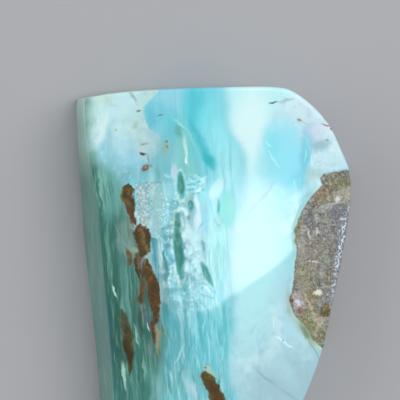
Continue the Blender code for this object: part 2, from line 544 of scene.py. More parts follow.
# The pale opal on the right. Rows of clouds say x, y, half width and half length in mm,
# lean in degrees, softness, colour code and strength, in the order in which they overlap.
colour = clouds(screen("b0dee8"), calm, (
    (8.69, 20.12, 9.35, 5.5, 0, 0.6, "d1eaf1", 1.0),
    (4.45, 21.55, 4.62, 0.88, 0, 0.8, "daf5f7", 0.7),
    (10.03, 17.7, 1.76, 0.99, 25, 0.6, "d0deec", 0.8),
    (10.7, 16.16, 1.21, 0.66, 10, 0.6, "96c0ce", 0.8),
    (8.69, 7.47, 6.6, 4.95, 0, 0.5, "a0e4ec", 1.0),
    (8.58, 8.9, 1.1, 1.32, -20, 0.8, "ace8f2", 0.7),
    (3.1, -6.28, 4.4, 6.6, 0, 0.6, "b8e6ee", 1.0),
    (8.69, -11.78, 6.6, 5.5, 0, 0.6, "a8ced8", 1.0),
    (8.69, -2.98, 2.86, 3.3, 35, 0.6, "b8e2ee", 0.8),
    (6.57, -8.04, 0.88, 2.64, 38, 0.6, "b4dee8", 0.7),
    (3.44, -3.86, 0.15, 0.66, -30, 0.8, "9ec8d2", 0.6),
    (4.17, -6.94, 0.18, 1.76, 4, 0.9, "9ecad4", 0.6),
    (5.12, -9.47, 0.15, 1.43, 49, 0.8, "90bac6", 0.7),
    (7.57, -11.23, 0.14, 0.99, 55, 0.8, "94b8c2", 0.6),
    (5.34, -5.84, 0.44, 0.99, 20, 1.0, "a4d2da", 0.4),
    (10.25, -5.4, 0.49, 1.21, 32, 0.5, "bcdeda", 0.9),
    (9.97, -5.84, 0.11, 1.65, 34, 0.6, "7ca6a8", 0.7),
))
colour = paint(colour, "d8f4f8", step(mist, 0.5, 0.68) * 0.5)
colour = paint(colour, "98c6d4", step(blotch, 0.5, 0.32) * 0.35)

# The milky column, and the blue eye to the right of it.
left = border((
    (0.42, 23.42), (0.2, 20.67), (-0.02, 19.57), (0.76, 17.92), (1.99, 15.72),
    (2.43, 13.52), (2.32, 11.32), (1.76, 8.57), (1.32, 3.62), (1.43, -0.78), (1.76, -5.18),
    (2.55, -11.78),
))
right = border((
    (8.69, 23.42), (6.23, 20.67), (4.78, 18.47), (4.56, 14.62), (4.89, 10.22), (6.46, 5.82),
    (5.56, -0.78), (4.45, -5.18), (4.0, -11.78),
))
column = step(x_here - left, -1.4, 1.2) * step(x_here - right, 1.8, -1.8)
colour = paint(colour, "bef6fa", column * step(y_here, -9.0, 3.0) * 0.9)
colour = clouds(colour, calm, (
    (2.66, 18.14, 1.87, 4.62, -8, 0.6, "e2ffff", 0.8),
    (1.76, 14.07, 1.1, 2.2, 0, 0.7, "d6fcff", 0.6),
))
colour = clouds(colour, calm, (
    (6.57, 14.73, 2.42, 4.18, 0, 0.45, "98e8f7", 0.9),
    (5.12, 16.49, 0.77, 1.54, 10, 0.8, "84e6f6", 0.6),
    (9.03, 15.06, 0.66, 2.86, -4, 0.7, "76d0e2", 0.8),
    (7.8, 12.2, 1.32, 0.99, 30, 0.7, "7adaee", 0.75),
    (6.79, 14.62, 1.1, 1.54, 0, 0.8, "9aecfe", 0.7),
    (4.45, 10.66, 0.15, 1.43, -40, 0.9, "a0ced4", 0.6),
    (2.88, 8.79, 0.17, 1.21, -31, 0.9, "a0ced2", 0.5),
))
ring = oval(ragged, 7.01, 14.84, 2.58, 4.07, soft=0.1)
ring *= oval(ragged, 6.9, 14.84, 2.42, 3.74, soft=-0.12)
colour = paint(colour, "baf8ff", ring * step(blotch, 0.4, 0.6) * 0.55)
colour = clouds(colour, ragged, (
    (4.86, 16.27, 0.1, 0.4, 45, 0.6, "caffff", 0.85),
    (5.51, 14.62, 0.11, 1.04, 32, 0.7, "befcff", 0.8),
    (8.98, 15.17, 0.1, 0.77, -6, 0.7, "a4f6ff", 0.7),
    (9.81, 14.51, 0.11, 1.1, -4, 0.7, "b8f6ff", 0.75),
    (8.47, 12.2, 0.07, 0.44, 0, 0.7, "acf0ff", 0.5),
    (7.91, 11.98, 0.07, 0.33, 0, 0.7, "acf0ff", 0.5),
    (6.68, -5.18, 0.17, 0.71, 62, 0.45, "d8fcfc", 0.95),
    (7.52, -5.79, 0.15, 0.55, 55, 0.45, "d8fcfc", 0.9),
    (7.08, -5.32, 0.1, 0.1, 0, 0.5, "54687a", 0.9),
    (5.71, -3.37, 0.1, 0.37, -8, 0.4, "d8fcfc", 0.9),
    (5.34, 20.84, 0.48, 0.13, 8, 0.6, "545a66", 0.9),
    (6.74, 21.05, 0.66, 0.15, 16, 0.8, "9ca6b4", 0.6),
    (8.41, 18.88, 0.29, 0.14, -15, 0.6, "7e8a42", 0.9),
    (9.03, 18.63, 0.44, 0.07, -20, 0.7, "b0bea0", 0.7),
    (11.48, 18.36, 0.71, 0.09, -10, 0.6, "8a8258", 0.9),
    (12.07, 17.96, 0.22, 0.26, -30, 0.5, "766022", 0.95),
    (11.37, 16.77, 0.2, 0.12, 0, 0.6, "889680", 0.8),
))

# The turquoise band up the middle.
left = border((
    (-6.39, 23.42), (-7.84, 21.77), (-8.74, 20.89), (-9.29, 20.23), (-9.07, 19.35),
    (-8.62, 18.14), (-7.84, 17.37), (-7.17, 16.6), (-7.17, 15.72), (-7.84, 14.95),
    (-10.3, 14.07), (-11.19, 11.87), (-8.51, 6.92), (-7.84, 3.62), (-6.95, -0.78),
    (-6.61, -5.73), (-6.95, -9.03), (-7.62, -11.23), (-7.17, -17.28),
))
right = border((
    (-0.02, 23.42), (-0.02, 20.67), (0.42, 17.92), (1.76, 15.72), (2.21, 13.52),
    (2.1, 11.32), (1.43, 8.57), (0.42, 6.37), (0.98, -0.78), (0.87, -5.18), (0.65, -8.48),
    (1.54, -11.78), (2.66, -17.28),
))
band = step(x_ragged - left, -0.3, 0.3) * step(x_here - right, 1.1, -1.1)
colour = paint(colour, "76d4e0", band)
colour = clouds(colour, calm, (
    (-6.39, 21.22, 1.98, 1.43, 0, 0.6, "98d8e8", 0.9),
    (-7.62, 19.9, 1.1, 0.99, 20, 0.7, "78ccdc", 0.9),
    (-8.29, 18.91, 0.77, 1.1, 15, 0.7, "6ec4d4", 0.85),
    (-3.6, 20.34, 1.21, 2.42, 0, 0.7, "58cedc", 0.9),
    (-2.26, 19.02, 0.88, 1.54, 0, 0.8, "82e8f4", 0.7),
    (-1.14, 19.9, 1.21, 2.2, 0, 0.7, "88e2ec", 0.8),
    (-0.47, 16.49, 1.65, 2.2, 25, 0.7, "9eeef6", 0.85),
    (0.42, 13.74, 1.32, 1.98, 0, 0.8, "b0f0f6", 0.8),
    (-5.94, 17.26, 0.99, 1.54, 0, 0.7, "6cc8d6", 0.9),
    (-8.62, 13.19, 3.3, 1.21, 0, 0.6, "76bac4", 0.95),
    (-6.05, 14.29, 1.32, 2.2, 0, 0.6, "7ec8ce", 0.85),
    (-7.51, 9.34, 0.88, 3.08, 0, 0.6, "48928c", 0.9),
    (-7.39, 2.74, 0.55, 3.96, 4, 0.5, "4692a2", 0.95),
    (-7.84, 5.82, 0.44, 1.76, 0, 0.6, "4c98a4", 0.9),
    (-4.71, 4.28, 2.64, 6.38, 3, 0.6, "2e909a", 0.95),
    (-0.47, 4.72, 1.43, 3.52, 0, 0.6, "8ce2e2", 0.9),
    (-4.94, -5.73, 1.54, 4.4, 0, 0.6, "62b0b8", 0.9),
    (-0.8, -5.73, 1.98, 4.62, 0, 0.6, "78d2dc", 0.9),
    (-0.02, -2.98, 1.1, 1.76, 0, 0.7, "82dee6", 0.8),
    (-3.6, -10.13, 2.86, 2.2, 0, 0.6, "78bec2", 0.8),
    (0.42, -10.13, 0.66, 2.86, 3, 0.6, "78c4cc", 0.7),
), band)
low = step(y_here, 11.32, 3.62) * band
smooth = step(y_here, 19.02, 10.22) * 0.7 + 0.3
colour = paint(colour, "b2e8ee", band * smooth * step(fibre, 0.5, 0.66) * 0.45)
colour = paint(colour, "4eb2be", band * smooth * step(fibre, 0.5, 0.34) * 0.5)
colour = paint(colour, "c4eef2", low * step(thread, 0.54, 0.7) * 0.5)
colour = paint(colour, "4a9ea8", low * step(thread, 0.46, 0.3) * 0.5)
streak = vein((
    (-4.16, 19.9, -0.4), (-3.82, 18.58, 0.25), (-3.04, 16.82, 0.4), (-2.14, 15.39, 0.5),
    (-1.59, 14.18, 0.5), (-1.03, 12.86, -0.4),
), 0.45)
colour = paint(colour, "42c2ce", streak * 0.85)
colour = clouds(colour, calm, (
    (-1.81, 14.51, 0.44, 0.88, 25, 0.8, "30b8c0", 0.7),
    (-3.6, 15.72, 0.66, 1.65, 12, 0.9, "78ceca", 0.4),
    (-4.71, 15.94, 0.66, 2.86, 8, 0.7, "8cd0c8", 0.7),
    (-5.27, 17.59, 0.29, 0.77, 12, 0.6, "62b2ac", 0.8),
    (-3.6, 13.52, 0.88, 1.1, 0, 0.7, "8ccec4", 0.5),
))
# Milky threads and facets among the turquoise, and the dark ones between them.
colour = clouds(colour, ragged, (
    (-4.42, 15.5, 0.19, 1.43, 10, 0.6, "c6ecec", 0.85),
    (-4.36, 14.34, 0.1, 0.33, 0, 0.5, "ecfcfc", 0.95),
    (-5.16, 18.36, 0.1, 0.99, 50, 0.8, "a2e8ee", 0.8),
    (-3.93, 17.15, 0.09, 1.32, 25, 0.8, "8ee2e2", 0.7),
    (-5.72, 13.19, 0.33, 0.79, 5, 0.35, "badae8", 0.95),
    (-6.45, 12.8, 0.44, 0.15, -10, 0.6, "96e4f0", 0.8),
    (-2.48, 12.31, 0.2, 0.44, -42, 0.8, "cef6f6", 0.7),
    (-2.14, 12.09, 0.09, 0.44, -45, 0.6, "5abec4", 0.6),
    (-2.93, 11.32, 0.18, 0.44, -30, 0.8, "d4f6f6", 0.7),
    (-3.71, 9.89, 0.44, 0.99, 0, 0.6, "469ca0", 0.9),
    (-4.49, 10.05, 0.49, 0.33, 0, 0.6, "5caca8", 0.8),
    (-3.93, 8.24, 0.33, 0.44, -20, 0.5, "589ea8", 0.85),
    (-6.5, 1.09, 0.66, 3.3, 5, 0.8, "2c8086", 0.75),
    (-5.83, 4.06, 0.44, 1.43, 6, 0.6, "68c2d8", 0.85),
    (-4.1, 4.72, 0.33, 3.52, 3, 0.7, "96c8d4", 0.7),
    (-3.15, 4.5, 0.6, 3.52, 0, 0.7, "b8e8f0", 0.75),
    (-2.26, 7.8, 0.33, 1.32, -8, 0.6, "60c4dc", 0.85),
    (-2.65, 7.36, 0.1, 0.44, -35, 0.6, "4ea0ac", 0.8),
    (-2.14, 5.16, 0.22, 0.88, 10, 0.6, "70bac8", 0.8),
    (-5.16, 0.21, 0.99, 0.88, 10, 0.9, "96dee8", 0.5),
    (-2.93, 0.21, 0.66, 0.99, 20, 0.9, "8cdce6", 0.5),
    (-5.72, 7.36, 0.33, 1.76, 4, 0.9, "aad4ce", 0.6),
    (-3.82, 6.7, 0.24, 1.54, 4, 0.8, "badce2", 0.6),
    (-3.04, 9.89, 0.26, 0.88, 0, 0.4, "b6e2e8", 0.8),
    (-3.09, 7.91, 0.4, 0.99, -8, 0.5, "bee2ec", 0.8),
    (-6.39, 8.35, 0.33, 0.88, 0, 0.8, "a8ecfa", 0.7),
    (-0.8, 11.48, 0.51, 1.21, -27, 0.5, "bceef0", 0.85),
    (0.01, 11.98, 0.08, 0.66, -15, 0.6, "96bec8", 0.6),
    (0.2, 9.12, 0.88, 1.98, 0, 0.3, "5cd4d0", 0.85),
    (0.87, 9.01, 0.39, 1.76, 0, 0.6, "78d8d0", 0.6),
    (-1.03, 8.02, 0.2, 0.33, 0, 0.8, "78bab2", 0.5),
    (-0.3, 7.91, 0.22, 0.22, 0, 0.8, "6eb2a8", 0.5),
    (-3.82, -10.02, 0.33, 0.99, 10, 0.6, "bedee8", 0.6),
    (-3.04, -10.9, 0.28, 1.1, 10, 0.6, "c4e2ee", 0.7),
    (-4.04, -8.7, 1.54, 0.18, 0, 0.9, "96cecc", 0.35),
    (-1.78, 0.38, 0.12, 0.51, 42, 0.8, "d8fafa", 0.7),
    (-6.13, 0.87, 0.13, 1.54, 2, 0.7, "54929c", 0.7),
    (-4.21, -1.99, 0.09, 0.55, 0, 0.6, "429ea8", 0.9),
    (-5.72, -10.02, 0.2, 0.99, 5, 0.6, "549ca2", 0.85),
    (-6.28, -4.08, 0.11, 1.54, 3, 0.7, "549ea4", 0.7),
    (-5.16, -4.08, 0.1, 1.43, -3, 0.7, "5cacb4", 0.6),
    (-3.6, -5.73, 0.11, 1.76, -6, 0.7, "58b2be", 0.6),
    (-4.49, -9.03, 0.13, 1.32, -12, 0.7, "54a6ac", 0.7),
    (-2.14, -6.5, 0.1, 1.54, 2, 0.7, "62beca", 0.6),
    (-4.71, -6.72, 0.15, 0.99, -25, 0.6, "a2e2ea", 0.8),
    (-5.5, -9.36, 0.17, 0.6, 8, 0.6, "ace2e4", 0.8),
    (-6.22, -6.83, 0.11, 0.99, -6, 0.7, "96ced4", 0.7),
    (-2.93, -3.75, 0.13, 1.21, 0, 0.7, "98e4ee", 0.7),
    (-2.03, -3.53, 0.11, 1.32, 3, 0.7, "98e8f0", 0.6),
    (-0.02, -6.94, 0.11, 1.65, 3, 0.7, "98e6ec", 0.7),
    (-3.6, -2.76, 0.12, 0.99, 0, 0.7, "98e0e8", 0.7),
    (-1.03, -8.7, 0.33, 0.66, 30, 0.6, "a2cec4", 0.8),
    (-1.42, -8.26, 0.49, 0.33, -20, 0.5, "bcceba", 0.9),
    (-1.81, -8.15, 0.15, 0.11, 0, 0.5, "766c44", 0.9),
    (-0.32, -9.8, 0.18, 0.2, 0, 0.6, "5e9480", 0.8),
))

ridge = oval(ragged, -4.88, 8.24, 0.77, 1.26, soft=0.3)
ridge *= oval(ragged, -4.99, 8.02, 0.55, 1.04, soft=-0.3)
colour = paint(colour, "cef4f0", ridge * step(y_here, 7.14, 8.35) * 0.75)
ridge = vein((
    (-4.49, 8.9, -0.3), (-4.21, 7.58, 0.1), (-4.16, 6.04, 0.12), (-3.99, 4.5, 0.14),
    (-3.88, 3.18, 0.12), (-4.27, 1.86, 0.1), (-4.6, 0.98, -0.3),
), 0.25)
colour = paint(colour, "d6f6fa", ridge * 0.65)
ridge = vein((
    (-6.61, 5.16, -0.3), (-6.45, 4.39, 0.05), (-6.17, 3.4, 0.08), (-5.91, 2.3, 0.08),
    (-5.85, 0.98, 0.05), (-5.83, -0.34, -0.3),
), 0.15)
colour = paint(colour, "c8f4f8", ridge * 0.65)
milky = oval(calm, -6.5, 8.9, 1.21, 2.97, 4, 0.9)
flecks = milky * step(speckle, 0.52, 0.66) * step(blotch, 0.42, 0.58)
colour = paint(colour, "baeef6", flecks * 0.8)
flecks = milky * step(speckle, 0.46, 0.34) * step(blotch, 0.58, 0.42)
colour = paint(colour, "4ea6b4", flecks * 0.6)
crust_part = oval(calm, -4.49, 2.74, 2.2, 3.74, 4, 0.8)
colour = paint(colour, "96e4f0", crust_part * step(blotch, 0.46, 0.6) * 0.35)
colour = paint(colour, "3a9ca6", crust_part * step(blotch, 0.5, 0.36) * 0.5)

# The pale lobes and the green corner at the upper left, over the light blue cloud.
lobes = step(x_ragged - border((
    (-6.39, 23.42), (-7.84, 21.77), (-8.74, 20.89), (-9.29, 20.23), (-9.07, 19.35),
    (-8.62, 18.14), (-7.84, 17.37), (-7.17, 16.6), (-7.17, 15.72), (-7.84, 14.95),
    (-8.51, 14.29), (-9.63, 13.3), (-11.19, 11.87), (-13.65, 6.92),
)), 0.3, -0.3)
colour = clouds(colour, calm, (
    (-12.31, 15.5, 3.74, 3.74, 0, 0.6, "9ad4e4", 1.0),
    (-13.2, 11.87, 1.76, 1.54, 0, 0.7, "7abebc", 0.8),
    (-10.86, 12.64, 1.32, 0.99, 0, 0.7, "78b8c4", 0.8),
    (-8.4, 16.27, 1.54, 1.98, 0, 0.4, "bad8dc", 0.95),
    (-8.51, 20.89, 1.76, 2.2, 0, 0.5, "bce0dc", 0.9),
    (-11.64, 20.12, 1.76, 4.18, -4, 0.5, "c4eaee", 0.95),
    (-10.08, 18.14, 1.32, 1.98, 0, 0.6, "badedc", 0.7),
    (-14.66, 19.24, 1.43, 2.86, 0, 0.5, "c4ece6", 0.9),
    (-13.87, 21.33, 1.32, 0.55, 0, 0.7, "cce6da", 0.8),
    (-13.93, 18.03, 0.55, 2.09, -16, 0.95, "ceecec", 0.6),
    (-12.98, 16.82, 0.44, 1.54, -10, 0.9, "96ced6", 0.5),
    (-14.88, 13.85, 0.66, 2.2, 4, 0.7, "92c4b6", 0.8),
    (-14.1, 11.54, 0.55, 2.2, 6, 0.6, "7ab4a4", 0.8),
), lobes)
colour = clouds(colour, ragged, (
    (-7.39, 14.95, 1.54, 0.99, 20, 1.0, "80c2cc", 0.75),
    (-6.95, 15.83, 0.88, 1.43, 10, 1.0, "86c6ce", 0.85),
    (-7.84, 17.59, 0.55, 0.88, -35, 1.0, "96ced8", 0.6),
))
colour = paint(colour, "d6f0f2", lobes * step(blotch, 0.5, 0.72) * 0.35)
colour = paint(colour, "96c6c6", lobes * step(blotch, 0.48, 0.3) * 0.25)
colour = clouds(colour, ragged, (
    (-13.43, 18.91, 0.26, 0.88, -14, 0.95, "e2f4f4", 0.6),
    (-13.92, 16.93, 0.26, 0.99, -20, 0.95, "e2f4f4", 0.6),
    (-14.54, 18.03, 0.49, 0.09, 0, 0.8, "e0f2ee", 0.7),
    (-15.6, 19.9, 0.15, 0.99, 0, 0.8, "d6eae6", 0.6),
    (-10.41, 21.44, 0.13, 0.77, 32, 0.8, "96b0a0", 0.7),
    (-9.74, 19.9, 0.29, 0.13, 25, 0.6, "687c6c", 0.85),
    (-7.39, 19.52, 0.29, 0.09, 20, 0.6, "4c949e", 0.8),
    (-10.08, 18.25, 0.29, 0.33, 0, 0.9, "a4bea0", 0.6),
    (-9.11, 16.32, 0.46, 0.09, 15, 0.7, "88a08e", 0.8),
    (-9.34, 15.26, 0.37, 0.19, -38, 0.5, "52462c", 0.95),
    (-8.79, 14.51, 0.1, 0.44, 15, 0.7, "808c6e", 0.7),
    (-9.01, 13.59, 0.44, 0.29, 8, 0.5, "764e3e", 0.95),
    (-8.96, 13.65, 0.18, 0.11, 20, 0.7, "be9c80", 0.6),
    (-8.34, 13.74, 0.18, 0.2, 0, 0.7, "7a9674", 0.8),
    (-6.67, 15.94, 0.29, 0.71, -10, 0.8, "96b698", 0.6),
    (-6.42, 16.53, 0.15, 0.14, 0, 0.5, "5a6e4a", 0.9),
    (-6.52, 15.99, 0.12, 0.14, 0, 0.5, "68825c", 0.8),
    (-12.15, 17.71, 0.17, 0.11, 0, 0.6, "a8cc7e", 0.9),
    (-13.43, 15.61, 0.09, 0.49, 0, 0.7, "bae2ea", 0.6),
    (-11.97, 12.86, 0.1, 0.88, 2, 0.8, "98ced8", 0.6),
))

# The dark green-blue opal down the left side: its darkness is partly the opal's own colour
# and partly painted shade, where the side falls away from the light.
right = border((
    (-15.44, 15.72), (-14.32, 14.07), (-13.2, 12.97), (-12.09, 11.87), (-10.97, 10.22),
    (-10.3, 8.57), (-9.18, 5.82), (-8.51, 3.62), (-7.84, 1.42), (-7.17, -0.78),
    (-6.72, -2.98), (-6.72, -6.28), (-6.84, -9.36), (-6.72, -11.78), (-6.5, -17.28),
))
dark = step(x_ragged - right, 1.3, -1.3)
colour = paint(colour, "3c766a", dark)
colour = clouds(colour, calm, (
    (-12.87, 11.1, 1.21, 2.86, 0, 0.7, "6cb0a8", 0.85),
    (-13.76, 11.76, 0.55, 1.98, 6, 0.7, "88c4b6", 0.8),
    (-10.97, 5.82, 0.99, 1.98, 8, 0.3, "769890", 0.85),
    (-10.41, 6.7, 0.39, 1.54, 8, 0.5, "6a8278", 0.8),
    (-10.75, -8.04, 0.55, 1.32, 6, 0.8, "36543e", 0.6),
    (-11.19, 1.42, 0.44, 3.08, 4, 0.6, "548c84", 0.7),
    (-12.64, -4.08, 0.55, 5.5, 5, 0.5, "286468", 0.9),
    (-11.75, -4.08, 0.66, 6.05, 4, 0.7, "285a4c", 0.8),
    (-9.07, 3.07, 0.44, 1.43, 6, 0.5, "7c807e", 0.9),
    (-9.07, -0.78, 0.55, 1.98, 6, 0.6, "546052", 0.8),
    (-8.07, -6.17, 0.55, 0.99, 8, 0.6, "70968c", 0.85),
    (-7.62, -9.03, 0.66, 1.76, 5, 0.6, "609e92", 0.8),
    (-9.63, -10.9, 2.86, 2.86, 0, 0.9, "4c9286", 0.45),
    (-7.17, -10.9, 0.55, 1.76, 0, 0.8, "8cc6c6", 0.8),
    (-6.95, -5.62, 0.55, 2.42, 2, 0.8, "3a7c6e", 0.7),
    (-8.34, -2.76, 0.33, 0.88, 5, 0.5, "607682", 0.8),
))
colour = paint(colour, "80b8ac", dark * step(fibre, 0.5, 0.7) * 0.5)
colour = paint(colour, "2c6262", dark * step(fibre, 0.48, 0.34) * 0.5)
colour = paint(colour, "96c8ba", dark * step(thread, 0.56, 0.74) * 0.35)
colour = paint(colour, "265048", dark * step(thread, 0.44, 0.28) * 0.35)
colour = clouds(colour, ragged, (
    (-11.19, 5.71, 0.09, 1.87, 34, 0.8, "78a89c", 0.6),
    (-9.96, 4.61, 0.33, 0.33, 20, 0.6, "a6ac94", 0.8),
    (-12.09, 0.21, 0.1, 0.66, 8, 0.4, "ace6da", 0.95),
    (-10.89, -9.14, 0.19, 1.43, 8, 0.4, "a4d0be", 0.95),
    (-9.46, -4.74, 0.1, 1.1, 14, 0.5, "9ec6b8", 0.85),
    (-8.62, -8.26, 0.11, 1.32, 10, 0.6, "84bcae", 0.7),
    (-9.41, -8.7, 0.1, 1.54, 8, 0.6, "6eaa9e", 0.6),
    (-8.32, -3.64, 0.09, 0.44, 8, 0.5, "c0d8dc", 0.9),
    (-9.13, -3.31, 0.2, 1.32, 6, 0.5, "3a5444", 0.9),
    (-8.57, -1.88, 0.09, 0.11, 0, 0.4, "1e2823", 0.9),
))
streak = vein((
    (-14.43, 14.07, -0.3), (-14.15, 12.09, 0.12), (-13.81, 10.11, 0.15),
    (-13.72, 7.47, 0.15), (-13.56, 5.82, 0.15), (-13.31, 4.06, 0.15), (-13.05, 1.31, 0.15),
    (-12.87, -1.22, 0.12), (-12.64, -4.08, -0.3),
), 0.12)
colour = paint(colour, "326858", streak * 0.8)

# The iron-stained veins, which are porous and matte.
head = vein((
    (-10.86, 12.2, -1.0), (-10.86, 11.54, 0.68), (-10.86, 11.1, 0.8), (-10.8, 10.55, 0.74),
    (-10.68, 9.89, 0.62), (-10.48, 9.23, 0.48), (-10.3, 8.57, 0.34), (-10.12, 7.8, 0.32),
    (-9.96, 7.03, -0.3),
), 0.12)
colour = paint(colour, "4e481c", head)
brown = vein((
    (-9.29, 7.69, -0.3), (-9.24, 7.14, 0.72), (-9.13, 6.59, 0.9), (-9.01, 5.82, 0.9),
    (-8.96, 5.05, 0.72), (-8.96, 4.39, 0.5), (-9.18, 3.62, -0.3),
), 0.12)
colour = paint(colour, "604c22", brown)
branch = vein((
    (-9.63, 4.94, -0.3), (-9.67, 4.06, 0.15), (-9.7, 3.29, 0.26), (-9.52, 2.52, 0.26),
    (-9.29, 1.42, 0.14), (-9.07, 0.32, 0.18), (-9.18, -0.45, 0.3), (-9.18, -1.0, 0.2),
    (-9.07, -1.66, -0.3),
), 0.14)
colour = paint(colour, "4c4628", branch)
strand = vein((
    (-9.46, 4.72, -0.3), (-9.35, 4.06, 0.14), (-9.18, 3.18, 0.1), (-9.01, 2.3, 0.16),
    (-8.9, 1.2, 0.1), (-8.85, 0.1, 0.12), (-8.79, -1.22, -0.3),
), 0.1)
colour = paint(colour, "544a2c", strand)
side = vein((
    (-10.91, 5.16, -0.3), (-10.69, 4.5, 0.1), (-10.47, 3.84, 0.26), (-10.35, 3.18, 0.22),
    (-10.19, 2.52, -0.3),
), 0.14)
colour = paint(colour, "646846", side)
rust = vein((
    (-8.65, 4.06, -0.3), (-8.49, 3.4, 0.33), (-8.31, 2.52, 0.5), (-8.07, 1.42, 0.6),
    (-7.84, 0.32, 0.6), (-7.62, -0.78, 0.52), (-7.47, -1.88, 0.42), (-7.51, -2.98, 0.38),
    (-7.67, -3.86, 0.28), (-7.73, -4.96, 0.16), (-7.56, -6.28, -0.3),
), 0.12)
colour = paint(colour, "52360e", rust)
beige = vein((
    (-7.45, -2.87, -0.3), (-7.34, -3.75, 0.2), (-7.28, -4.63, 0.26), (-7.19, -5.62, 0.22),
    (-7.1, -6.5, 0.12), (-7.06, -7.6, -0.3),
), 0.16)
colour = paint(colour, "92947a", beige)
olive = vein((
    (-11.3, -1.44, -0.3), (-11.14, -2.32, 0.22), (-10.86, -3.09, 0.46),
    (-10.63, -4.08, 0.6), (-10.47, -4.96, 0.66), (-10.35, -5.73, 0.6), (-10.3, -6.5, 0.5),
    (-10.3, -7.16, 0.4), (-10.24, -7.82, 0.3), (-10.19, -8.7, 0.15), (-10.19, -10.02, -0.3),
), 0.18)
colour = paint(colour, "42542c", olive * 0.85)
tail = vein((
    (-1.81, -8.37, -0.3), (-1.64, -9.03, 0.6), (-1.42, -9.58, 0.7), (-1.03, -10.35, 0.75),
    (-0.69, -11.01, 0.8), (-0.36, -11.78, 0.84), (0.2, -13.1, 0.85), (0.76, -14.64, 0.7),
    (1.32, -16.18, 0.4), (1.76, -17.83, -0.3),
), 0.12)
colour = paint(colour, "686a10", tail)
cream = oval(ragged, -8.85, 7.69, 0.29, 0.55, 8, 0.5)
colour = paint(colour, "c6c094", cream)
stained = rust + brown + branch + strand + side + head + olive + tail
stained = stained.maths("MINIMUM", stained, 1.0)
colour = paint(colour, "966834", stained * step(blotch, 0.5, 0.62) * 0.6)
colour = paint(colour, "221b08", stained * step(blotch, 0.48, 0.36) * 0.7)
colour = clouds(colour, ragged, (
    (-11.58, 11.1, 0.18, 0.99, 4, 0.7, "8c9646", 0.8),
    (-10.35, 9.89, 0.29, 0.44, 15, 0.6, "3a2e1e", 0.8),
    (-10.58, 9.12, 0.39, 0.77, 20, 0.6, "70421a", 0.7),
    (-10.75, 9.89, 0.24, 0.39, 25, 0.7, "787e5c", 0.7),
    (-10.13, 8.02, 0.18, 0.77, 8, 0.6, "603a22", 0.9),
    (-9.57, 6.04, 0.24, 0.88, 15, 0.6, "48361a", 0.9),
    (-8.57, 6.26, 0.26, 0.99, 5, 0.6, "483214", 0.9),
    (-9.01, 6.04, 0.2, 0.88, 12, 0.7, "8c8058", 0.7),
    (-8.62, 4.94, 0.13, 0.55, 12, 0.7, "848a58", 0.8),
    (-9.18, 4.94, 0.24, 0.66, 14, 0.6, "544026", 0.85),
    (-8.4, 1.53, 0.26, 1.32, 8, 0.6, "68421c", 0.5),
    (-7.56, 0.32, 0.17, 1.65, 8, 0.6, "543816", 0.8),
    (-8.07, -0.78, 0.13, 1.1, 5, 0.7, "604a28", 0.7),
    (-8.67, 3.51, 0.13, 0.55, 12, 0.6, "7e8654", 0.9),
    (-7.73, -3.64, 0.22, 0.88, 3, 0.6, "5e442e", 0.8),
    (-11.13, -3.42, 0.13, 0.77, 12, 0.6, "62521a", 0.9),
    (-10.41, -6.72, 0.55, 1.65, 10, 0.6, "181602", 0.95),
    (-10.24, -5.18, 0.33, 0.88, 0, 0.7, "384012", 0.7),
    (-11.25, -1.77, 0.18, 0.24, 0, 0.5, "485c16", 0.9),
    (-0.92, -10.57, 0.51, 1.32, 32, 0.5, "462c08", 0.9),
    (-1.81, -9.36, 0.22, 0.55, 10, 0.6, "56581a", 0.8),
    (-0.02, -12.66, 0.6, 1.98, 22, 0.6, "5c340c", 0.9),
), stained)
colour = clouds(colour, ragged, (
    (-8.58, 3.89, 0.15, 0.24, -10, 0.6, "bac6ba", 0.7),
    (-6.99, -6.5, 0.12, 0.49, 6, 0.6, "687c4c", 0.9),
    (-6.75, -3.97, 0.1, 0.55, -5, 0.6, "547a52", 0.8),
))

# Frosted places: a grey-blue strip with dark grey specks, and white specks on all of them
# that are painted glints.
left = border((
    (-10.3, 12.42), (-10.02, 11.65), (-9.8, 10.22), (-9.74, 9.12), (-9.46, 8.02),
    (-9.07, 6.81),
))
right = border((
    (-7.06, 12.42), (-7.73, 11.65), (-8.18, 10.55), (-8.23, 9.12), (-8.29, 6.81),
))
sparkle = step(x_ragged - left, -0.05, 0.1) * step(x_ragged - right, 0.35, -0.75)
sparkle = sparkle * step(y_here, 12.14, 11.92) * step(y_here, 7.03, 7.8)
colour = paint(colour, "92b2b6", sparkle * 0.9)
frosting = sparkle.maths("MAXIMUM", sparkle, carried("frost"))
# White specks: painted glints on the frosted places.
colour = paint(colour, "daf0f2", frosting * step(speckle, 0.46, 0.74) * 0.75)
colour = paint(colour, "76969a", sparkle * step(speckle, 0.46, 0.3) * 0.4)

# Where the opal meets the host rock it is stained olive and lets the rock show through.
colour = clouds(colour, ragged, (
    (9.14, -3.86, 0.66, 2.86, 36, 0.8, "a6c2a0", 0.7),
    (9.53, -4.52, 0.37, 1.32, 38, 0.7, "788a6e", 0.85),
    (9.14, 9.89, 0.22, 2.2, -30, 0.9, "aaccbe", 0.4),
    (7.91, 6.26, 0.22, 2.64, 0, 0.9, "b4ceb4", 0.5),
    (7.46, -1.0, 0.26, 1.32, 4, 0.9, "a0b2a0", 0.6),
    (10.03, 12.86, 0.99, 0.66, 0, 0.8, "bed6d0", 0.6),
))
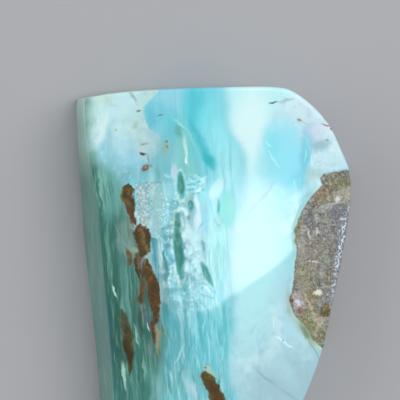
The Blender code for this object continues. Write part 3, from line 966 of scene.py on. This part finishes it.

# The host rock: grey to olive grains of several minerals in a brown ground, with a painted
# glint, and a painted sheen along its right edge.
rock = carried("rock")
coarse = grain(ragged, 1.3, detail=2.0)
stone_grain = grain(ragged, 4.0, detail=2.0)
ground = paint(screen("84857e"), "acaaa2", step(coarse, 0.5, 0.64))
ground = paint(ground, "605846", step(coarse, 0.46, 0.34))
ground = clouds(ground, ragged, (
    (8.35, 7.36, 0.44, 1.76, -8, 0.6, "8c8e64", 0.8),
    (8.8, 4.5, 0.66, 1.1, 0, 0.6, "b2b4ae", 0.8),
    (11.04, 10.66, 0.99, 0.77, 0, 0.6, "968462", 0.8),
    (12.93, 11.98, 1.54, 0.88, 0, 0.4, "787654", 0.9),
    (13.27, 10.55, 0.99, 0.88, 0, 0.5, "acaa96", 0.9),
    (12.66, 10.16, 0.26, 0.4, 0, 0.4, "e2e4e4", 0.95),
    (9.58, 7.91, 0.6, 1.16, 5, 0.4, "727478", 0.9),
    (11.48, 9.23, 0.88, 0.55, 0, 0.5, "a6aaa4", 0.8),
    (11.67, 7.8, 0.71, 0.71, 0, 0.2, "8e9480", 0.95),
    (12.93, 8.24, 1.1, 1.32, 0, 0.6, "70747e", 0.9),
    (11.15, 5.82, 0.99, 1.1, 0, 0.7, "7a7a7c", 0.7),
    (12.15, 3.4, 0.66, 2.42, -8, 0.7, "787470", 0.8),
    # The next white fleck is a painted glint.
    (13.49, 7.96, 0.46, 0.13, 20, 0.5, "e0e2e6", 0.9),
    (12.04, 9.67, 0.99, 0.13, 10, 0.7, "c4c4be", 0.6),
    (9.47, 6.37, 0.13, 0.55, 15, 0.5, "cdcdc6", 0.9),
    (10.42, 6.64, 0.14, 0.4, -20, 0.5, "cecec4", 0.9),
    (10.03, 3.95, 1.87, 1.65, 0, 0.5, "8c8678", 0.8),
    (11.37, 3.45, 0.51, 0.94, -10, 0.3, "889288", 0.9),
    (10.03, 3.26, 0.77, 0.08, 0, 0.5, "d6d6d0", 0.9),
    (11.82, 1.53, 0.46, 0.77, 0, 0.4, "7c7258", 0.9),
    (9.14, 1.75, 1.1, 1.21, 20, 0.6, "92906e", 0.8),
    (9.95, 1.36, 0.24, 0.2, 0, 0.5, "5c5230", 0.9),
    (9.81, -0.56, 0.77, 1.21, 10, 0.5, "8e8466", 0.9),
    (10.59, -0.18, 0.46, 0.33, 10, 0.4, "ecf0d8", 0.95),
    (11.43, -2.16, 0.68, 0.71, 0, 0.3, "5e5016", 0.95),
    (11.65, -1.77, 0.33, 0.26, 0, 0.6, "887430", 0.7),
    (9.92, -3.86, 1.32, 1.87, 35, 0.6, "848856", 0.9),
    (8.47, -1.11, 0.71, 1.04, 8, 0.3, "a8a2a2", 0.95),
    (7.66, -0.89, 0.18, 0.99, 4, 0.5, "765848", 0.9),
    (8.47, -1.27, 0.46, 0.31, 0, 0.4, "d8d8e6", 0.95),
    (8.69, -2.05, 0.37, 0.31, 10, 0.5, "7e483a", 0.9),
    (10.98, -3.26, 0.48, 0.6, 20, 0.5, "b0a09c", 0.9),
    (11.26, -4.8, 0.24, 0.46, 10, 0.6, "605c36", 0.9),
    (9.75, -1.33, 0.14, 1.76, 24, 0.4, "b8ae8c", 0.9),
    (10.76, -3.26, 0.12, 1.32, 38, 0.5, "aca27e", 0.8),
))
ground = paint(ground, "d6d8d2", step(stone_grain, 0.54, 0.72) * 0.45)
ground = paint(ground, "3c3e38", step(stone_grain, 0.46, 0.28) * 0.6)
ground = paint(ground, "e8eae6", step(speckle, 0.6, 0.74) * 0.3)
ground = paint(ground, "2c2e28", step(speckle, 0.4, 0.26) * 0.35)
ground = paint(ground, "ceccc4", step(blotch, 0.56, 0.68) * 0.3)
ground = paint(ground, "786638", carried("rim") * 0.8)
# A painted sheen along the rock's right edge: a blue-grey strip, white specks that are
# painted glints, and dark specks.
sheen_border = border((
    (14.39, 10.77), (13.83, 9.34), (13.27, 7.47), (12.88, 5.27), (12.49, 3.07),
    (12.21, 0.87), (11.93, -0.78), (12.26, -1.88),
))
edge_sheen = step(carried("wall"), 0.7, 0.1) * step(x_here - sheen_border, -0.3, 0.5)
ground = paint(ground, "92a0b2", edge_sheen * 0.8)
ground = paint(ground, "ecf2fa", edge_sheen * step(speckle, 0.52, 0.62))
ground = paint(ground, "545c6e", edge_sheen * step(speckle, 0.42, 0.36) * 0.9)
colour = cover(colour, ground, rock)

# The left wall is painted lighter towards its top and darker lower down, as painted light and
# shade; the pits have a crusty rim.
left_wall_shading = carried("wall") * step(x_here, -8.0, -12.0)
colour = paint(colour, "d6f6f0", left_wall_shading * step(y_here, 17.92, 20.34) * 0.6)
colour = paint(colour, "b0d6c8", left_wall_shading * step(y_here, 10.22, 16.82) * 0.7)
colour = paint(colour, "709a92", left_wall_shading * step(y_here, 16.82, 8.02) * 0.6)
pit = carried("pit")
lip = carried("lip")
colour = paint(colour, "58ac9e", pit * 0.9)
colour = paint(colour, "c8eae4", lip * step(blotch, 0.38, 0.62) * 0.6)

# The polish is duller on stains, crust, rock, in pits and where it is frosted.
crust = oval(ragged, -5.05, 4.06, 1.87, 5.72, 4, 0.5)
crust *= step(blotch, 0.62, 0.42) * 0.4 + 0.06
roughness = stained * 0.4 + crust + rock * 0.42 + pit * 0.25 + frosting * 0.2 + 0.03
relief = rock * stone_grain + frosting * speckle * 0.4 + thread * 0.03
bump = finish.node("Bump", {}, {"Height": relief, "Strength": 0.6, "Distance": 0.12 * MM})
polished = finish.node("BsdfPrincipled", {}, {
    "Base Color": colour, "Roughness": roughness, "IOR": 1.45, "Normal": bump,
    "Subsurface Weight": 0.3, "Subsurface Radius": (0.5, 1.0, 1.1),
    "Subsurface Scale": 0.5 * MM,
})
porous = finish.node("BsdfPrincipled", {}, {
    "Base Color": screen("423410"), "Roughness": 0.8, "Specular IOR Level": 0.15,
})
porous_part = stained * (step(speckle, 0.6, 0.42) * 0.3 + 0.32)
surface = finish.node("MixShader", {}, {0: porous_part, 1: polished, 2: porous})
finish.node("OutputMaterial", {}, {"Surface": surface})
mesh.materials.append(opal)

# The floor that the stone lies on.
FLOOR_SIZE = 1.2
plane = bmesh.new()
bmesh.ops.create_grid(plane, x_segments=1, y_segments=1, size=FLOOR_SIZE / 2)
floor_mesh = bpy.data.meshes.new("floor")
plane.to_mesh(floor_mesh)
plane.free()
floor = put_in_scene("floor", floor_mesh)
floor_paint = bpy.data.materials.new("floor")
floor_paint.use_nodes = True
floor_shader = floor_paint.node_tree.nodes["Principled BSDF"]
floor_shader.inputs["Base Color"].default_value = (0.42, 0.42, 0.435, 1)
floor_shader.inputs["Roughness"].default_value = 0.9
floor_mesh.materials.append(floor_paint)

# The camera looks down at the stone, a little from its left. Its and the lights' sizes
# and places are in metres.
LOOK_AT = Vector((-2.525, 10.36, 6.6)) * MM
CAMERA_TILT = math.radians(10)
CAMERA_DISTANCE = 0.45
FRAME_WIDTH = 0.044       # of what the camera sees at the stone
camera = put_in_scene("camera", bpy.data.cameras.new("camera"))
camera.data.lens = camera.data.sensor_width * CAMERA_DISTANCE / FRAME_WIDTH
away = Vector((-math.sin(CAMERA_TILT), 0, math.cos(CAMERA_TILT)))
camera.location = LOOK_AT + CAMERA_DISTANCE * away
camera.rotation_euler = (0, -CAMERA_TILT, 0)
camera.data.clip_start = 0.01
camera.data.clip_end = 10
bpy.context.scene.camera = camera

# The lights are a softbox that the polish mirrors, a key, a weaker fill and the room.
SOFTBOX_LOW = Vector((-0.009, -0.0289))     # its corners, seen from above
SOFTBOX_HIGH = Vector((0.15, 0.0601))
SOFTBOX_Z = 0.401
SOFTBOX_RADIANCE = 7.0
LEFT_SLOPE = 0.208        # of the cuts across its two lower corners
RIGHT_SLOPE = 0.41
LEFT_CUT = (-0.0132, -0.0118)     # where they are: the end of the dark, and the full glow
RIGHT_CUT = (-0.0501, -0.0487)
TOP_FADE = (0.058, 0.038)


def lamp(name, place, size, energy):
    """A flat lamp, unseen itself, that is turned towards the middle of the floor."""
    made = put_in_scene(name, bpy.data.lights.new(name, "AREA"))
    made.data.shape = "RECTANGLE"
    made.data.size, made.data.size_y = size
    made.data.energy = energy
    made.location = place
    made.rotation_euler = (-made.location).to_track_quat("-Z", "Y").to_euler()
    made.visible_camera = False
    return made


softbox_size = SOFTBOX_HIGH - SOFTBOX_LOW
softbox_place = (*((SOFTBOX_LOW + SOFTBOX_HIGH) / 2), SOFTBOX_Z)
power = SOFTBOX_RADIANCE * math.pi * softbox_size.x * softbox_size.y
softbox = lamp("softbox", softbox_place, softbox_size, power)
softbox.rotation_euler = (0, 0, 0)      # it hangs level
softbox.data.use_nodes = True
softbox.data.node_tree.nodes.clear()
glow = Wire(softbox.data.node_tree)
glow_place = glow.node("NewGeometry", {}, {}, 0)
across = glow.node("SeparateXYZ", {}, {0: glow_place}, 0)
up = glow.node("SeparateXYZ", {}, {0: glow_place}, 1)
left_lit = step(up + across * LEFT_SLOPE, *LEFT_CUT)
right_lit = step(up - across * RIGHT_SLOPE, *RIGHT_CUT)
lit = left_lit * right_lit * step(up, *TOP_FADE)
shine = glow.node("Emission", {}, {"Strength": lit})
glow.node("OutputLight", {}, {"Surface": shine})
lamp("key", place=(0.52, 0.38, 0.56), size=(0.8, 0.8), energy=3.6)
lamp("fill", place=(-0.62, 0.06, 0.26), size=(0.8, 0.5), energy=1.8)

world = bpy.data.worlds.new("room")
world.use_nodes = True
background = world.node_tree.nodes["Background"]
background.inputs["Color"].default_value = (0.95, 0.97, 1.0, 1)
background.inputs["Strength"].default_value = 0.5
bpy.context.scene.world = world
bpy.context.scene.view_settings.view_transform = "Standard"
